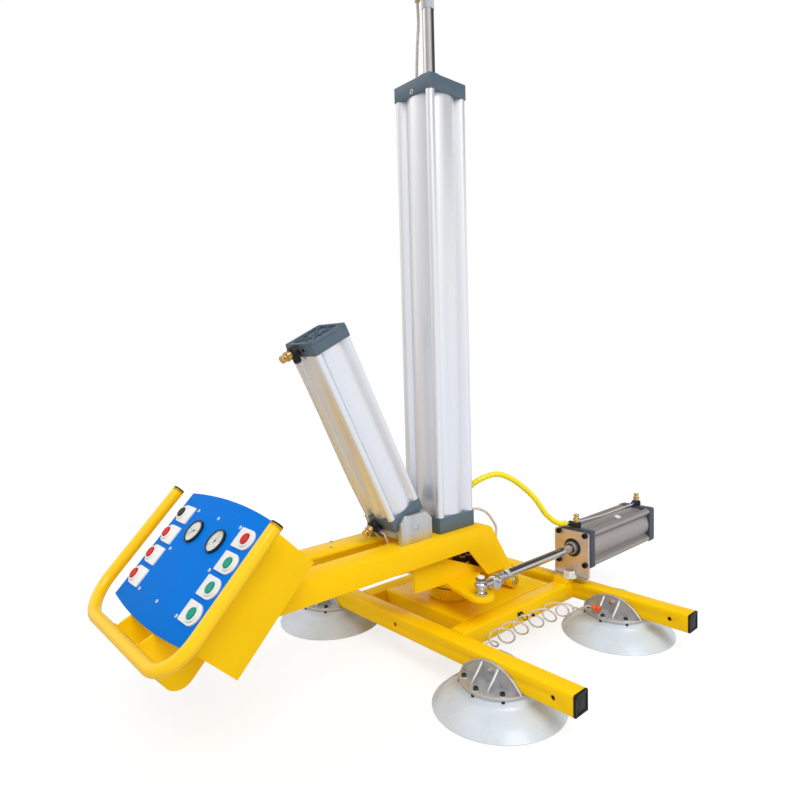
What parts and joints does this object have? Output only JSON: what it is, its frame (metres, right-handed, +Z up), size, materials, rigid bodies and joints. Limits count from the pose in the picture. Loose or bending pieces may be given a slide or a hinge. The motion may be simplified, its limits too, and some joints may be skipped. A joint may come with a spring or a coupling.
{
  "type": "pneumatic vacuum lifter",
  "caption": "Pneumatic vacuum lifter: a hoist cylinder on an arm with a control box, and a tilting, turning frame of suction pads below.",
  "frame": {"origin": "on the surface the pad lips rest on, under the middle of the whole outline", "axes": "+Z up, +Y along the arm away from the operator's handlebar, +X to the operator's right"},
  "size_m": [1.1126, 1.686, 1.835],
  "materials": {
    "yellow_paint": "satin yellow powder coat",
    "blue_paint": "satin blue face",
    "slate_paint": "satin slate grey paint",
    "anodised": "clear anodised extrusion",
    "bare_aluminium": "machined or cast aluminium",
    "chrome_steel": "polished hard chrome",
    "zinc_steel": "bright zinc plated steel",
    "bronze": "yellow passivated steel, bronze in tone",
    "pad_rubber": "light grey rubber",
    "black_plastic": "black plastic",
    "red_plastic": "red plastic",
    "green_plastic": "green plastic",
    "clear_hose": "clear plastic hose",
    "yellow_wrap": "yellow spiral wrap"
  },
  "bodies": {
    "carrier": {"arm": "yellow_paint", "hinge_pin": "zinc_steel", "trunnion_ear_right": "bare_aluminium", "trunnion_ear_left": "bare_aluminium", "hoist_barrel": "anodised", "hoist_cap_bottom": "slate_paint", "hoist_cap_top": "slate_paint", "control_box": "yellow_paint", "control_panel": "blue_paint", "handlebar": "yellow_paint", "gauge_left": "black_plastic", "gauge_right": "black_plastic", "wrapped_hose": "yellow_wrap", "drain_hose": "clear_hose", "feed_hose": "clear_hose"},
    "hoist_lift": {"hoist_rod": "chrome_steel", "hoist_head": "zinc_steel"},
    "tilt_frame": {"tilt_bracket": "yellow_paint", "lever_pin": "zinc_steel", "slew_ring_upper": "zinc_steel"},
    "tilt_cylinder": {"tilt_barrel": "anodised", "tilt_cap_front": "slate_paint", "tilt_cap_rear": "slate_paint", "trunnion_block": "bare_aluminium"},
    "tilt_piston": {"tilt_rod": "chrome_steel", "tilt_rod_eye": "zinc_steel"},
    "pad_carriage": {"pad_beam_front": "yellow_paint", "pad_beam_rear": "yellow_paint", "cross_tube_left": "yellow_paint", "cross_tube_right": "yellow_paint", "turntable_carriage": "yellow_paint", "slew_ring_lower": "zinc_steel", "coil_hose": "clear_hose", "end_cap_front_left": "black_plastic", "end_cap_front_right": "black_plastic", "end_cap_rear_left": "black_plastic", "end_cap_rear_right": "black_plastic", "pad_mount_front_right": "bare_aluminium", "pad_mount_front_left": "bare_aluminium", "pad_mount_rear_right": "bare_aluminium", "pad_mount_rear_left": "bare_aluminium", "suction_cup_front_right": "pad_rubber", "suction_cup_front_left": "pad_rubber", "suction_cup_rear_right": "pad_rubber", "suction_cup_rear_left": "pad_rubber"},
    "slew_piston": {"slew_rod": "chrome_steel", "slew_rod_eye": "zinc_steel"},
    "slew_cylinder": {"slew_barrel": "anodised", "slew_cap_front": "slate_paint", "slew_cap_rear": "slate_paint", "slew_foot": "bronze"},
    "button_left_1_cap": {"button_left_1": "black_plastic"},
    "button_left_2_cap": {"button_left_2": "red_plastic"},
    "button_left_3_cap": {"button_left_3": "red_plastic"},
    "button_left_4_cap": {"button_left_4": "red_plastic"},
    "button_right_1_cap": {"button_right_1": "red_plastic"},
    "button_right_2_cap": {"button_right_2": "green_plastic"},
    "button_right_3_cap": {"button_right_3": "green_plastic"},
    "button_right_4_cap": {"button_right_4": "green_plastic"}
  },
  "joints": [
    {"name": "hoist_lift_slide", "type": "slide", "parent": "carrier", "child": "hoist_lift", "axis": [0, 0, 1], "range_m": [0, 1]},
    {"name": "pad_tilt", "type": "hinge", "parent": "carrier", "child": "tilt_frame", "pos_m": [0, 0.25168, 0.14], "axis": [1, 0, 0], "range_deg": [0, 90], "deforming": ["wrapped_hose"]},
    {"name": "pad_turn", "type": "hinge", "parent": "tilt_frame", "child": "pad_carriage", "pos_m": [0, 0.09568, 0.15], "axis": [0, 0, -1], "range_deg": [0, 90]},
    {"name": "tilt_cylinder_trunnion", "type": "hinge", "parent": "carrier", "child": "tilt_cylinder", "pos_m": [0, -0.10432, 0.372], "axis": [1, 0, 0], "range_deg": [-0.2292, 0]},
    {"name": "tilt_rod_slide", "type": "slide", "parent": "tilt_cylinder", "child": "tilt_piston", "axis": [0, 0.4399, -0.898], "range_m": [0, 0.43761]},
    {"name": "slew_rod_pivot", "type": "hinge", "parent": "tilt_frame", "child": "slew_piston", "pos_m": [0.2, -0.00032, 0.221], "axis": [0, 0, -1], "range_deg": [0, 132.63]},
    {"name": "slew_cylinder_slide", "type": "slide", "parent": "slew_piston", "child": "slew_cylinder", "axis": [0, -1, 0], "range_m": [0, 0.25544]},
    {"name": "button_left_1_press", "type": "slide", "parent": "carrier", "child": "button_left_1_cap", "axis": [0, 0.7108, -0.7034], "range_m": [0, 0.003], "stiffness_N_per_m": 400},
    {"name": "button_left_2_press", "type": "slide", "parent": "carrier", "child": "button_left_2_cap", "axis": [0, 0.7108, -0.7034], "range_m": [0, 0.003], "stiffness_N_per_m": 400},
    {"name": "button_left_3_press", "type": "slide", "parent": "carrier", "child": "button_left_3_cap", "axis": [0, 0.7108, -0.7034], "range_m": [0, 0.003], "stiffness_N_per_m": 400},
    {"name": "button_left_4_press", "type": "slide", "parent": "carrier", "child": "button_left_4_cap", "axis": [0, 0.7108, -0.7034], "range_m": [0, 0.003], "stiffness_N_per_m": 400},
    {"name": "button_right_1_press", "type": "slide", "parent": "carrier", "child": "button_right_1_cap", "axis": [0, 0.7108, -0.7034], "range_m": [0, 0.003], "stiffness_N_per_m": 400},
    {"name": "button_right_2_press", "type": "slide", "parent": "carrier", "child": "button_right_2_cap", "axis": [0, 0.7108, -0.7034], "range_m": [0, 0.003], "stiffness_N_per_m": 400},
    {"name": "button_right_3_press", "type": "slide", "parent": "carrier", "child": "button_right_3_cap", "axis": [0, 0.7108, -0.7034], "range_m": [0, 0.003], "stiffness_N_per_m": 400},
    {"name": "button_right_4_press", "type": "slide", "parent": "carrier", "child": "button_right_4_cap", "axis": [0, 0.7108, -0.7034], "range_m": [0, 0.003], "stiffness_N_per_m": 400}
  ],
  "couplings": [
    {"joint": "tilt_cylinder_trunnion", "follows": "pad_tilt", "ratio": -0.0025448},
    {"joint": "tilt_rod_slide", "follows": "pad_tilt", "m_per_rad": 0.27858},
    {"joint": "slew_rod_pivot", "follows": "pad_turn", "ratio": 1.4736},
    {"joint": "slew_cylinder_slide", "follows": "pad_turn", "m_per_rad": 0.16261}
  ]
}
